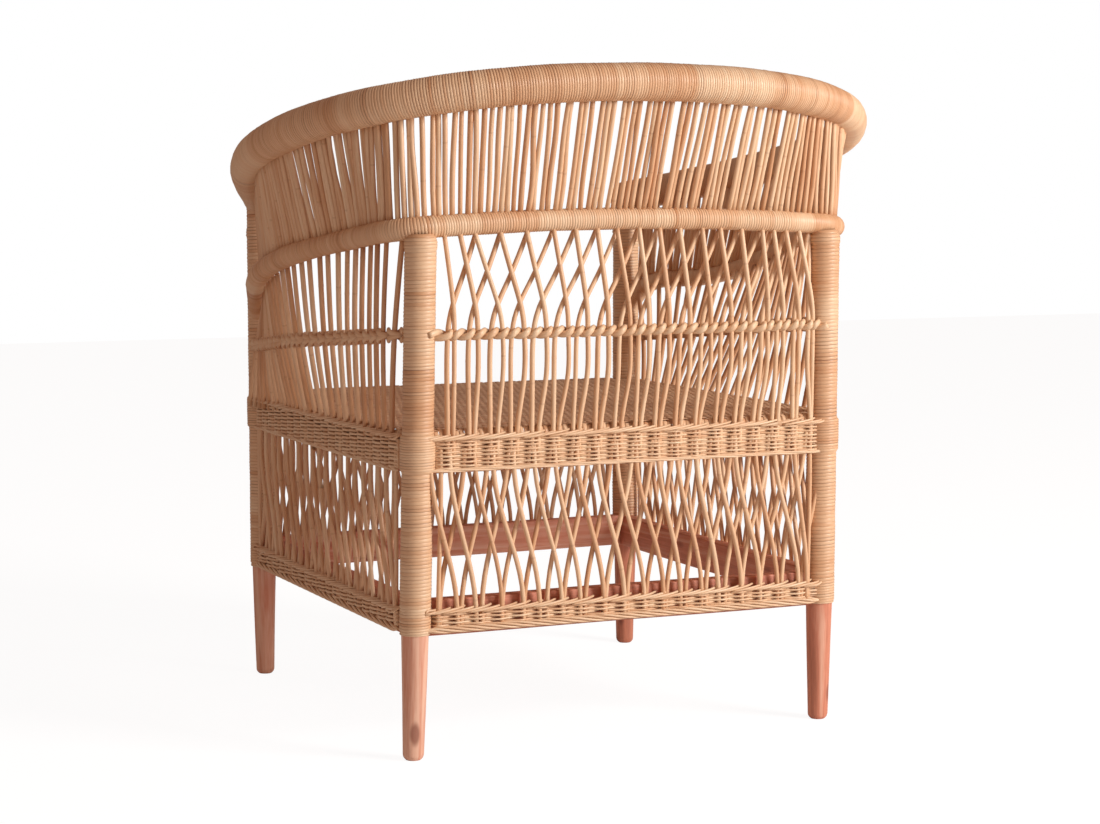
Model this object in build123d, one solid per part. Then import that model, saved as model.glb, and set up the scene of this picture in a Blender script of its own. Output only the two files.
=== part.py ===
from build123d import *

import math
import os

# Malawi cane armchair: four round wooden posts, wooden stretchers and seat rails, and a
# horseshoe of wrapped cane rails, spokes, crossed canes and woven bands.
#
# Axes: the sitter faces -Y, +X is the sitter's left, +Z is up. All lengths are millimetres.
# Heights are above the floor. "Offset" is a distance outward from the line that joins two
# neighbouring post axes, and a "share" of a rail is a part of the way along half of its centre
# line, from the middle of the back to a front post.

# ---------------------------------------------------------------- driving dimensions
# Posts
POST_SPAN = 542.0          # between the left and right post axes
POST_DEPTH = 552.0         # between the front and back post axes at the floor
BACK_LEAN = 1.5            # back posts lean backward, degrees
POST_R = 16.25             # turned post above the leg
FOOT_R = 12.2              # tapered leg just above the foot's bevel
FOOT_FLAT_R = 8.5          # flat that stands on the floor
FOOT_BEVEL = 5.0           # height of the bevel round the foot
FOOT_STOCK = 4.0           # length below the floor before a leaning foot is cut flat

# Cane wrapping round the posts
WRAP = 2.2                 # thickness of the wrapping
COLLAR = 2.3               # extra thickness where the seat band's strands pass the post
WRAP_GAP = 0.15            # between the post and its wrapping
WRAP_FLATS = 16            # the close winding is drawn with this many flats
POLE_FLATS = 12            # and that of the rails with this many

# Wooden rails between the posts
RAIL_FACE = 4.5            # offset of the rails' outer face
RAIL_T = 18.0
STRETCHER_Z = (144.5, 186.5)
SEAT_RAIL_Z = (333.0, 374.0)
TENON_T = 10.0
TENON_H = 16.0
TENON_L = 14.0             # reach past the post's surface
TENON_GAP = 2.0            # between the tenons that pass each other in a post
CROSS_RAIL_T = 30.0        # bearer under the middle of the seat
CROSS_RAIL_H = 24.0

# Woven cane seat
SEAT_T = 10.5
SEAT_EDGE_GAP = 0.3        # to the canes and wrappings round it

# Woven bands
BAND_FACE = 20.0           # offset of the bands' outer face
SEAT_BAND_Z = (335.0, 378.0)
SEAT_BAND_ROWS = 9
LOW_BAND_Z = (147.5, 178.0)
LOW_BAND_ROWS = 6
ROW_RELIEF = 1.6           # depth of the groove between two woven rows

# Canes
CANE_R = 3.1
CANE_GAP = 0.2             # between canes and what they pass
LOW_PITCH = 26.5           # crossed canes below the seat
BACK_PITCH = 26.4          # crossed canes of the backrest
CROSSING = 1.17            # sideways run of a crossed cane, in pitches
PAIR_GAP = 9.0             # between the heads of a pair below the seat
SIDE_SPOKES = 23           # spokes in each arm panel
UPPER_PITCH = 8.9          # spokes between the middle rail and the top roll
END_GAP = 0.1              # between a cane's end and the rail that it dies on
HEAD_SPREAD = 1.5          # of the two crossed layers under the middle rail, against the waist
FIRST_SPOKE = 9.3          # from a post's wrapping to the first spoke of an arm
ARM_SHARES = (0.345, 0.925)         # of the middle rail, between the arm panel's spokes
# Upper spokes: a share of the middle rail and the roll's share above it, from the back round
# the first corner to the front. The second place parts the back's spokes from the arm's.
UPPER_SHARES = [(0.0, 0.0), (0.33, 0.34), (0.475, 0.453), (0.92, 0.935)]

# Twined waist rail, at the back posts and at the front posts
WAIST_BACK_Z = 492.0
WAIST_FRONT_Z = 446.0
TWINE_R = 3.0
WAIST_SHARES = (0.01, 0.25, 0.5, 0.75, 0.99)   # of an arm panel, where the strands are fixed

# Middle rail, a wrapped pole: half of its centre line, from the back centre to a front post
MID_R = 13.0
MID_BACK_Z = 622.0         # crown of the gentle arch over the back
MID_POST_Z = 614.5         # over a back post
MID_CORNER_R = 49.0        # turn over a back post
MID_SIDE_OUT = 25.8        # side run's offset after the corner
MID_TURNED_Z = 606.6
MID_SIDE = [(37, 160, 596.5), (70.5, 50, 575), (71, -60, 548), (44, -160, 531)]   # offset, y, z
MID_END_OUT = 17.0         # offset of the last bend before it dies into a front post
MID_END_BACK = 32.0        # distance of that bend behind the post axis
MID_END_Z = (516.5, 488.0) # there and in the post

# Top roll, a thick wrapped bundle: half of its centre line
ROLL_R = 22.0
ROLL_BACK = (0, 352, 778.5)
ROLL_SIDE = [(223, 318.5, 765.5), (289, 278, 754), (344, 213, 738), (374.5, 129, 718),
             (377, 39.5, 698.5), (328, -134, 665)]
ROLL_END_Z = 641.0
HEAD_STEPS = (0, 35, 60, 80)   # rings of its rounded ends, degrees from the last section

# ---------------------------------------------------------------- derived places
HALF_X = POST_SPAN / 2
HALF_Y = POST_DEPTH / 2
BORE_R = (POST_R + WRAP_GAP) / math.cos(math.pi / WRAP_FLATS)   # the flats clear the round post
WRAP_R = POST_R + WRAP
COLLAR_R = WRAP_R + COLLAR
LEAN = math.tan(math.radians(BACK_LEAN))
SEAT_Z = SEAT_RAIL_Z[1] + SEAT_T
BAND_BACK = RAIL_FACE + CANE_GAP
LAYER_IN = BAND_BACK + CANE_R
LAYER_OUT = LAYER_IN + 2 * CANE_R + CANE_GAP / 2
LAYER_MID = (LAYER_IN + LAYER_OUT) / 2
TALL = 2 * ROLL_BACK[2]


def back_y(z):
    """Back post axis at a height."""
    return HALF_Y + LEAN * z


def at_side(side, along, offset, z):
    """Point on one side of the chair: along runs with +X or +Y, offset outward."""
    if side == "back":
        return Vector(along, back_y(z) + offset, z)
    if side == "front":
        return Vector(along, -HALF_Y - offset, z)
    return Vector((HALF_X + offset) * (1 if side == "left" else -1), along, z)


def reach(side, z):
    """Lowest and highest "along" between the two post axes of a side."""
    if side in ("back", "front"):
        return -HALF_X, HALF_X
    return -HALF_Y, back_y(z)


def viewer_right(side):
    """Sign of "along" towards the right, seen from outside."""
    return 1 if side in ("front", "left") else -1


def side_box(side, low, high, inner, outer, z0, z1):
    """Upright board on a side, between two "along" values and two offsets."""
    a = at_side(side, low, inner, (z0 + z1) / 2)
    b = at_side(side, high, outer, (z0 + z1) / 2)
    size = (abs(b.X - a.X), abs(b.Y - a.Y), z1 - z0)
    return Pos((a.X + b.X) / 2, (a.Y + b.Y) / 2, (z0 + z1) / 2) * Box(*size)


# ---------------------------------------------------------------- posts
POSTS = {
    "back_left": Pos(HALF_X, HALF_Y, 0) * Rot(-BACK_LEAN, 0, 0),
    "back_right": Pos(-HALF_X, HALF_Y, 0) * Rot(-BACK_LEAN, 0, 0),
    "front_left": Pos(HALF_X, -HALF_Y, 0),
    "front_right": Pos(-HALF_X, -HALF_Y, 0),
}
SIDE_POSTS = {
    "back": ("back_left", "back_right"),
    "front": ("front_left", "front_right"),
    "left": ("back_left", "front_left"),
    "right": ("back_right", "front_right"),
}
FLOOR = Pos(0, 0, -TALL / 2) * Box(TALL, TALL, TALL)


def around(post, radius, low=-POST_R, high=TALL):
    """Upright column of nearly round section on a post's axis."""
    section = Pos(0, 0, low) * RegularPolygon(radius, WRAP_FLATS)
    return POSTS[post] * extrude(section, amount=high - low, dir=(0, 0, 1))


def turned_post(post, top):
    """Tapered leg with a bevelled foot, straight above the woven bands."""
    stock_r = FOOT_FLAT_R - FOOT_STOCK * (FOOT_R - FOOT_FLAT_R) / FOOT_BEVEL
    profile = Polyline(
        (0, -FOOT_STOCK), (stock_r, -FOOT_STOCK), (FOOT_R, FOOT_BEVEL),
        (POST_R, LOW_BAND_Z[0]), (POST_R, top), (0, top), close=True)
    solid = revolve(Plane.XZ * make_face(profile), Axis.Z)
    return POSTS[post] * solid - FLOOR


def post_wrap(post, top):
    """Wrapping from the lower band to the rail, thicker where the seat band passes."""
    low, high = SEAT_BAND_Z
    collar_sections = [
        Pos(0, 0, z) * RegularPolygon(radius, WRAP_FLATS)
        for z, radius in ((low, WRAP_R), (low + COLLAR, COLLAR_R), (high - COLLAR, COLLAR_R), (high, WRAP_R))]
    collar = POSTS[post] * loft(collar_sections, ruled=True)
    bore = around(post, BORE_R, high=2 * top)
    return around(post, WRAP_R, LOW_BAND_Z[0], top) + collar - bore


# ---------------------------------------------------------------- wrapped rails
def middle_rail_edges():
    """Left half of the centre line: gently arched over the back, then the corner and the arm."""
    back = back_y(MID_POST_Z)
    turn_x = HALF_X + MID_SIDE_OUT - MID_CORNER_R
    over_post = Vector(turn_x, back, MID_POST_Z)
    arch = ThreePointArc((-turn_x, back, MID_POST_Z), (0, back, MID_BACK_Z), over_post).trim(0.5, 1)
    turned = Vector(turn_x + MID_CORNER_R, back - MID_CORNER_R, MID_TURNED_Z)
    corner = TangentArc(over_post, turned, tangent=arch % 1)
    arm_points = [turned] + [Vector(HALF_X + out, y, z) for out, y, z in MID_SIDE]
    arm_points.append(Vector(HALF_X + MID_END_OUT, -HALF_Y + MID_END_BACK, MID_END_Z[0]))
    arm_points.append(Vector(HALF_X, -HALF_Y, MID_END_Z[1]))
    inward = (arm_points[-1] - arm_points[-2]).normalized()
    arm = Spline(*arm_points, tangents=[corner % 1, inward])
    return [arch, corner, arm]


def top_roll_edges():
    """Left half of the centre line, from the middle of the back to over the front post."""
    half = [Vector(*p) for p in ROLL_SIDE] + [Vector(HALF_X, -HALF_Y, ROLL_END_Z)]
    forward = (half[-1] - half[-2]).normalized()
    return [Spline(Vector(*ROLL_BACK), *half, tangents=[(1, 0, 0), forward])]


def both_halves(half):
    return half + half.mirror(Plane.YZ)


def pole(edges, radius):
    """Round pole along the left half of a centre line, mirrored to the right."""
    line = Wire(edges)
    section = Plane(edges[0] @ 0, z_dir=edges[0] % 0) * RegularPolygon(radius, POLE_FLATS)
    return both_halves(sweep(section, path=line))


def station(edges, share):
    """Point and direction at a share of the half's length."""
    left = share * sum(e.length for e in edges)
    for edge in edges:
        if left <= edge.length or edge is edges[-1]:
            mode = PositionMode.LENGTH
            return edge.position_at(left, mode), edge.tangent_at(left, mode)
        left -= edge.length


def roll_head(hand):
    """Rounded end of the roll in front of a post, +1 for the left one."""
    start, way = ROLL[-1] @ 1, ROLL[-1] % 1
    rounds = []
    for degrees in HEAD_STEPS:
        angle = math.radians(degrees)
        place = start + way * (ROLL_R * math.sin(angle))
        rounds.append(Plane(place, z_dir=way) * RegularPolygon(ROLL_R * math.cos(angle), POLE_FLATS))
    head = loft(rounds, ruled=True)
    return head if hand > 0 else mirror(head, about=Plane.YZ)


MID = middle_rail_edges()
ROLL = top_roll_edges()
mid_rail = pole(MID, MID_R)
top_roll = pole(ROLL, ROLL_R)
for front_post in ("front_left", "front_right"):
    top_roll += roll_head(1 if front_post == "front_left" else -1)
    # The post's head goes up to the roll's middle, and the arm dies against its wrapping
    top_roll -= around(front_post, BORE_R, high=ROLL_END_Z + WRAP_GAP)
    mid_rail -= around(front_post, WRAP_R + WRAP_GAP)

# ---------------------------------------------------------------- wooden rails
def wooden_rail(side, heights, staggered_up):
    """Rail scribed to both posts, with a tenon in each; the other sides' tenons pass by."""
    z0, z1 = heights
    middle = (z0 + z1) / 2
    low, high = reach(side, middle)
    inner = RAIL_FACE - RAIL_T
    shoulder = END_GAP - inner
    rail = side_box(side, low + shoulder, high - shoulder, inner, RAIL_FACE, z0, z1)
    for post in SIDE_POSTS[side]:
        rail -= around(post, BORE_R)
    tenon_low_z = middle + (TENON_GAP / 2 if staggered_up else -TENON_GAP / 2 - TENON_H)
    tenon_mid = RAIL_FACE - RAIL_T / 2
    tenon_low = low + POST_R - TENON_L
    tenon_high = high - POST_R + TENON_L
    tenon_faces = (tenon_mid - TENON_T / 2, tenon_mid + TENON_T / 2)
    return rail + side_box(side, tenon_low, tenon_high, *tenon_faces, tenon_low_z, tenon_low_z + TENON_H)


stretchers = {}
seat_rails = {}
for side in SIDE_POSTS:
    across = side in ("back", "front")
    stretchers[side] = wooden_rail(side, STRETCHER_Z, across)
    seat_rails[side] = wooden_rail(side, SEAT_RAIL_Z, across)

# ---------------------------------------------------------------- posts and their wrapping
post_tops = {
    "back_left": MID_POST_Z - MID_R / 2,
    "back_right": MID_POST_Z - MID_R / 2,
    "front_left": ROLL_END_Z,
    "front_right": ROLL_END_Z,
}
posts = {}
wraps = {}
for post, top in post_tops.items():
    post_solid = turned_post(post, top)
    wrap = post_wrap(post, top)
    rail_over = mid_rail if post.startswith("back") else top_roll
    for side, ends in SIDE_POSTS.items():
        if post in ends:
            post_solid -= stretchers[side]
            post_solid -= seat_rails[side]
            wrap -= stretchers[side]
            wrap -= seat_rails[side]
    if post.startswith("back"):
        post_solid -= rail_over
    wrap -= rail_over
    posts[post] = post_solid
    wraps[post] = wrap

# ---------------------------------------------------------------- seat
def seat_panel():
    """Woven panel over the seat rails, notched round the four wrapped posts."""
    edge = BAND_BACK - SEAT_EDGE_GAP
    z0, z1 = SEAT_RAIL_Z[1], SEAT_Z
    low, high = -HALF_Y - edge, back_y(sum(SEAT_BAND_Z) / 2) + edge
    panel = Pos(0, (low + high) / 2, (z0 + z1) / 2) * Box(POST_SPAN + 2 * edge, high - low, z1 - z0)
    for post in POSTS:
        panel -= around(post, COLLAR_R + SEAT_EDGE_GAP)
    return panel


def seat_bearer():
    """Cross rail under the middle of the seat, between the front and back seat rails."""
    z1 = SEAT_RAIL_Z[1]
    inner = RAIL_FACE - RAIL_T
    low = -HALF_Y - inner
    high = back_y((SEAT_RAIL_Z[0] + z1) / 2) + inner
    middle = Pos(0, (low + high) / 2, z1 - CROSS_RAIL_H / 2)
    return middle * Box(CROSS_RAIL_T, high - low, CROSS_RAIL_H)


# ---------------------------------------------------------------- woven bands
def band(side, heights, rows, clear_r):
    """Band of woven rows between two posts, with a ridge for each row on its outer face."""
    z0, z1 = heights
    low, high = reach(side, (z0 + z1) / 2)
    row = (z1 - z0) / rows
    section = [(BAND_BACK, z0), (BAND_BACK, z1)]
    for i in range(rows, 0, -1):
        top = z0 + i * row
        section += [(BAND_FACE - ROW_RELIEF, top), (BAND_FACE, top - row / 2)]
    section.append((BAND_FACE - ROW_RELIEF, z0))
    start = at_side(side, low, 0, (z0 + z1) / 2)
    along = Vector(1, 0, 0) if side in ("back", "front") else Vector(0, 1, 0)
    outward = {"back": (0, 1, 0), "front": (0, -1, 0), "left": (1, 0, 0), "right": (-1, 0, 0)}[side]
    across = Vector(*outward).cross(Vector(0, 0, 1))
    plane = Plane(origin=(start.X, start.Y, 0), x_dir=outward, z_dir=across)
    face = plane * make_face(Polyline(*section, close=True))
    woven = extrude(face, amount=high - low, dir=along)
    for post in SIDE_POSTS[side]:
        woven -= around(post, clear_r)
    return woven


# ---------------------------------------------------------------- canes
def cane(start, finish):
    """Cane with ends square to its length."""
    run = finish - start
    return extrude(Plane(start, z_dir=run) * RegularPolygon(CANE_R, 6), amount=run.length)


def level_cane(*points):
    """Cane through points, each run ending level, so that it stands flat on a woven band."""
    solid = None
    for start, finish in zip(points, points[1:]):
        run = finish - start
        section = Pos(*start) * RegularPolygon(CANE_R, 6)
        piece = extrude(section, amount=run.length, dir=run.normalized())
        solid = piece if solid is None else solid + piece
    return solid


def heads(side, z, pitch, margin):
    """Evenly spaced middles of the pairs of canes between two posts."""
    low, high = reach(side, z)
    room = high - low - 2 * (WRAP_R + margin)
    count = int(room / pitch)
    first = (low + high) / 2 - (count - 1) * pitch / 2
    return [first + i * pitch for i in range(count)]


def low_canes(side, outer):
    """One layer of the crossed canes below the seat, all leaning one way."""
    z0, z1 = LOW_BAND_Z[1], SEAT_BAND_Z[0]
    lean = viewer_right(side) * (1 if outer else -1)
    offset = LAYER_OUT if outer else LAYER_IN
    low, high = reach(side, z0)
    edge = WRAP_R + CANE_R + CANE_GAP
    group = []
    for middle in heads(side, z1, LOW_PITCH, CANE_R):
        head = middle + lean * PAIR_GAP / 2
        foot = head + lean * CROSSING * LOW_PITCH
        if low + edge < foot < high - edge:
            group.append(level_cane(at_side(side, foot, offset, z0), at_side(side, head, offset, z1)))
    # One upright cane beside the post that the others lean away from
    post_side = high - edge if lean > 0 else low + edge
    shift = reach(side, z1)[1] - high if lean > 0 else 0
    upright_foot = at_side(side, post_side, offset, z0)
    upright_head = at_side(side, post_side + shift, offset, z1)
    group.append(level_cane(upright_foot, upright_head))
    return group


def back_canes(outer):
    """One layer of the backrest: down from the middle rail to the waist, then upright."""
    z0 = SEAT_BAND_Z[1]
    lean = viewer_right("back") * (1 if outer else -1)
    offset = LAYER_OUT if outer else LAYER_IN
    head_offset = (offset - LAYER_MID) * HEAD_SPREAD
    edge = WRAP_R + CANE_R + CANE_GAP
    group = []
    for middle in heads("back", MID_POST_Z, BACK_PITCH, 0):
        head = middle + lean * (CANE_R + CANE_GAP)
        waist = head + lean * (CROSSING * BACK_PITCH)
        waist = max(min(waist, HALF_X - edge), edge - HALF_X)
        share = abs(head) / HALF_X
        rail_z = MID_BACK_Z + (MID_POST_Z - MID_BACK_Z) * share ** 2
        top = at_side("back", head, head_offset, rail_z - MID_R - 2 * END_GAP)
        points = [at_side("back", waist, offset, z0), at_side("back", waist, offset, WAIST_BACK_Z), top]
        group.append(level_cane(*points))
    return group


def trim(direction, run, radius):
    """How far from a rail's centre line a square-ended cane that aims at it has to stop."""
    along = abs(run.normalized().dot(direction))
    across = math.sqrt(1 - along ** 2)
    return (radius + CANE_R * along) / across + END_GAP


def share_above(share):
    """Share of the roll where the upper spoke from a share of the middle rail ends."""
    for (a, above_a), (b, above_b) in zip(UPPER_SHARES, UPPER_SHARES[1:]):
        if share <= b:
            return above_a + (above_b - above_a) * (share - a) / (b - a)


def upper_spokes(first, last):
    """Spokes that flare from the middle rail to the top roll, over a range of the half."""
    length = sum(e.length for e in MID)
    count = round((last - first) * length / UPPER_PITCH)
    group = []
    for i in range(count):
        share = first + (last - first) * (i + 0.5) / count
        foot, foot_way = station(MID, share)
        head, head_way = station(ROLL, share_above(share))
        run = head - foot
        unit = run.normalized()
        foot = foot + unit * trim(foot_way, run, MID_R)
        head = head - unit * trim(head_way, run, ROLL_R)
        group.append(cane(foot, head))
    return group


def side_spoke_ends():
    """Feet on the seat band and heads on the arm, for the left side, back to front."""
    z0 = SEAT_BAND_Z[1]
    low, high = reach("left", z0)
    edge = WRAP_R + FIRST_SPOKE
    ends = []
    for i in range(SIDE_SPOKES):
        share = (i + 0.5) / SIDE_SPOKES
        foot_y = high - edge + (low - high + 2 * edge) * share
        along_rail = ARM_SHARES[0] + (ARM_SHARES[1] - ARM_SHARES[0]) * share
        ends.append((at_side("left", foot_y, LAYER_MID, z0), *station(MID, along_rail)))
    return ends


# ---------------------------------------------------------------- waist rail
def waist_point(share, offset):
    """Point in the plane of the left spokes at waist height, from the back post forward."""
    z = WAIST_BACK_Z + (WAIST_FRONT_Z - WAIST_BACK_Z) * share
    index = min(int(share * len(SPOKES)), len(SPOKES) - 1)
    foot, head, _ = SPOKES[index]
    lift = (z - foot.Z) / (head.Z - foot.Z)
    point = foot + (head - foot) * lift
    return Vector(point.X + offset, point.Y, z)


def twine(points):
    line = Spline(*points) if len(points) > 2 else Line(*points)
    return sweep(Plane(line @ 0, z_dir=line % 0) * RegularPolygon(TWINE_R, 6), path=line)


SPOKES = side_spoke_ends()
TWINE_OUT = CANE_R + TWINE_R + CANE_GAP
left_spokes = []
for foot, head, way in SPOKES:
    run = head - foot
    left_spokes.append(level_cane(foot, head - run.normalized() * trim(way, run, MID_R)))

left_twines = []
for offset in (-TWINE_OUT, TWINE_OUT):
    route = [waist_point(share, offset) for share in WAIST_SHARES]
    left_twines.append(twine(route))
back_twines = []
for offset in (LAYER_IN - TWINE_OUT, LAYER_OUT + TWINE_OUT):
    ends = [at_side("back", x, offset, WAIST_BACK_Z) for x in (-HALF_X, HALF_X)]
    line = twine(ends)
    for post in SIDE_POSTS["back"]:
        line -= around(post, WRAP_R)
    back_twines.append(line)

# ---------------------------------------------------------------- all the pieces
def mirror_all(solids):
    return [mirror(solid, about=Plane.YZ) for solid in solids]


nodes = {"top_roll": [top_roll], "middle_rail": [mid_rail]}
for post in POSTS:
    nodes[f"{post}_post"] = [posts[post]]
    nodes[f"{post}_post_wrap"] = [wraps[post]]
for side in SIDE_POSTS:
    nodes[f"{side}_stretcher"] = [stretchers[side]]
    nodes[f"{side}_seat_rail"] = [seat_rails[side]]
    nodes[f"{side}_seat_band"] = [band(side, SEAT_BAND_Z, SEAT_BAND_ROWS, COLLAR_R)]
    nodes[f"{side}_lower_band"] = [band(side, LOW_BAND_Z, LOW_BAND_ROWS, WRAP_R)]
    nodes[f"{side}_lower_canes_outer"] = low_canes(side, True)
    nodes[f"{side}_lower_canes_inner"] = low_canes(side, False)
nodes["seat_cross_rail"] = [seat_bearer()]
nodes["woven_seat"] = [seat_panel()]
nodes["back_canes_outer"] = back_canes(True)
nodes["back_canes_inner"] = back_canes(False)
nodes["left_arm_spokes"] = left_spokes
nodes["right_arm_spokes"] = mirror_all(left_spokes)
nodes["back_waist_rail"] = back_twines
nodes["left_waist_rail"] = left_twines
nodes["right_waist_rail"] = mirror_all(left_twines)
back_upper = upper_spokes(UPPER_SHARES[0][0], UPPER_SHARES[1][0])
left_upper = upper_spokes(UPPER_SHARES[1][0], UPPER_SHARES[-1][0])
nodes["back_upper_spokes"] = back_upper + mirror_all(back_upper)
nodes["left_upper_spokes"] = left_upper
nodes["right_upper_spokes"] = mirror_all(left_upper)

# The origin is under the middle of the whole chair, between the roll's back and its heads
roll_box = top_roll.bounding_box()
CENTRE_Y = (roll_box.min.Y + roll_box.max.Y) / 2

os.makedirs("parts", exist_ok=True)
for name, solids in nodes.items():
    pieces = [s for item in solids for s in item.solids()]
    placed = [Pos(0, -CENTRE_Y, 0) * piece for piece in pieces]
    whole = placed[0] if len(placed) == 1 else Compound(children=placed)
    export_step(whole, f"parts/{name}.step")
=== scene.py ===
import math
import random

import bpy
import numpy as np
from mathutils import Matrix


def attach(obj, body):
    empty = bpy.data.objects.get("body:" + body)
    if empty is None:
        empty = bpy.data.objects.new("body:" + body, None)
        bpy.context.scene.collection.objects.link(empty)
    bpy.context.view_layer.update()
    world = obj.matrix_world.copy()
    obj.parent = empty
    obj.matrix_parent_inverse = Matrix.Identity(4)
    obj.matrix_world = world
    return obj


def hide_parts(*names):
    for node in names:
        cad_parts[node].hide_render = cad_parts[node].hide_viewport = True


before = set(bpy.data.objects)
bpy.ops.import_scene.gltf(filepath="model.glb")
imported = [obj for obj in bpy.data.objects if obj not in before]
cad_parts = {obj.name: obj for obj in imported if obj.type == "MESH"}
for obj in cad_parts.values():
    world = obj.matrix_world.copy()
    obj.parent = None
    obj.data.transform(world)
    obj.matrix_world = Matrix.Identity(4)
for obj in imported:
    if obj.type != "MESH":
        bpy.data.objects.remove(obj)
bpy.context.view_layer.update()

# ---- Posts ----
# Four round hardwood posts, turned and then shaved by hand. The back ones lean backward and a
# little toward each other. Each leg tapers below the lower band to a bevelled foot, and the wood
# is oiled, not stained.

POST_X = 0.271  # post axes, left and right of the middle
FRONT_Y = -0.3141
BACK_Y = 0.2379  # at the floor
LEAN = math.tan(math.radians(1.5))
POST_R = 0.01595  # just inside the wrapping
# heights and radii of the foot's bevel
FOOT = ((0.0, 0.0085), (0.0012, 0.0099), (0.003, 0.0113), (0.005, 0.0120), (0.0065, 0.0122))
FOOT_BEVEL = 0.005  # above it the shaving marks begin
BAND_BOTTOM = 0.1475
POST_TOP = {"back": 0.600, "front": 0.640}
POST_SIDES = 40
SPLAY = 0.0018  # the back posts stand in by this at the floor
INWARD = 0.0105  # and lean toward each other by this share of the height
UPRIGHT = (1.0, 0.0, 0.0)  # what counts as "up" across something that stands


def new_object(name, data):
    thing = bpy.data.objects.new(name, data)
    bpy.context.scene.collection.objects.link(thing)
    return thing


class Bundle:
    """Canes, strips or boards gathered into one piece, with the marks that its finish reads.

    grain is a place inside the material in metres, with z along the fibres. tone runs from 0,
    pale, to 1, dark. The third mark is painted shade: 0 on the crown of a strip, 1 in the groove
    beside it, and high too where a strand goes in behind stakes or another strand.
    """

    def __init__(self):
        self.points, self.grain, self.tone, self.seam = [], [], [], []
        self.faces, self.smooth = [], []
        self.count = 0

    def add(self, points, faces, grain, tone, seam):
        size = len(points)
        self.points.append(points)
        self.grain.append(grain)
        self.tone.append(np.broadcast_to(tone, size))
        self.seam.append(np.broadcast_to(seam, size))
        self.faces.extend((np.asarray(faces) + self.count).tolist())
        self.smooth.extend([True] * len(faces))
        self.count += size

    def caps(self, first_ring, last_ring):
        """Flat ends for what is added next."""
        self.faces.append([self.count + i for i in reversed(first_ring)])
        self.faces.append([self.count + i for i in last_ring])
        self.smooth.extend([False, False])

    def piece(self, name, finish, slot, *nodes):
        mesh = bpy.data.meshes.new(name)
        mesh.from_pydata(np.vstack(self.points).tolist(), [], self.faces)
        mesh.polygons.foreach_set("use_smooth", self.smooth)
        for mark, values in (("tone", self.tone), ("seam", self.seam)):
            layer = mesh.attributes.new(mark, "FLOAT", "POINT")
            layer.data.foreach_set("value", np.concatenate(values).astype(np.float32))
        layer = mesh.attributes.new("grain", "FLOAT_VECTOR", "POINT")
        layer.data.foreach_set("vector", np.vstack(self.grain).astype(np.float32).ravel())
        mesh.materials.append(finish)
        thing = new_object(name, mesh)
        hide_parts(*nodes)
        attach(thing, "root")


def across(spine, up):
    """Upward and sideways unit vectors at each point of a line."""
    way = np.gradient(spine, axis=0)
    way /= np.linalg.norm(way, axis=1)[:, None]
    rise = np.asarray(up) - (way @ np.asarray(up))[:, None] * way
    rise /= np.linalg.norm(rise, axis=1)[:, None]
    return rise, np.cross(way, rise)


def lengths(spine):
    """Distance along a line at each of its points."""
    return np.concatenate([[0.0], np.cumsum(np.linalg.norm(np.diff(spine, axis=0), axis=1))])


def sweep(bundle, spine, section, tone, rng, up=(0.0, 0.0, 1.0), seam=0.0):
    """Solid along a line. section holds (up, sideways) places, once or for each point."""
    spine = np.asarray(spine, float)
    rise, side = across(spine, up)
    section = np.broadcast_to(section, (len(spine),) + np.shape(section)[-2:])
    rows, sides = section.shape[:2]
    points = spine[:, None] + section[..., :1] * rise[:, None] + section[..., 1:] * side[:, None]
    along = np.broadcast_to(lengths(spine)[:, None, None], (rows, sides, 1))
    lot = np.array([rng.uniform(-9, 9) for _ in range(3)])
    grain = np.concatenate([section, along], axis=2) + lot
    i, j = np.meshgrid(np.arange(rows - 1), np.arange(sides), indexing="ij")
    k = (j + 1) % sides
    faces = np.stack([i * sides + j, i * sides + k, (i + 1) * sides + k, (i + 1) * sides + j], -1)
    bundle.caps(range(sides), range((rows - 1) * sides, rows * sides))
    bundle.add(points.reshape(-1, 3), faces.reshape(-1, 4), grain.reshape(-1, 3), tone, seam)


def ring(radius, sides, tall=1.0, deep=1.0):
    """Round or oval section, for one radius or for a list of them."""
    turn = np.arange(sides) * 2 * math.pi / sides
    shape = np.stack([tall * np.cos(turn), deep * np.sin(turn)], axis=1)
    return np.multiply.outer(np.asarray(radius, float), shape)


class Wire:
    """A value on its way between shader nodes. Sums and products of wires add Math nodes."""

    def __init__(self, finish, socket):
        self.finish, self.socket = finish, socket

    def maths(self, operation, other):
        return self.finish.node("ShaderNodeMath", {0: self, 1: other}, operation=operation)

    def __add__(self, other):
        return self.maths("ADD", other)

    __radd__ = __add__

    def __sub__(self, other):
        return self.maths("SUBTRACT", other)

    def __mul__(self, other):
        return self.maths("MULTIPLY", other)

    def __pow__(self, other):
        return self.maths("POWER", other)


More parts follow.
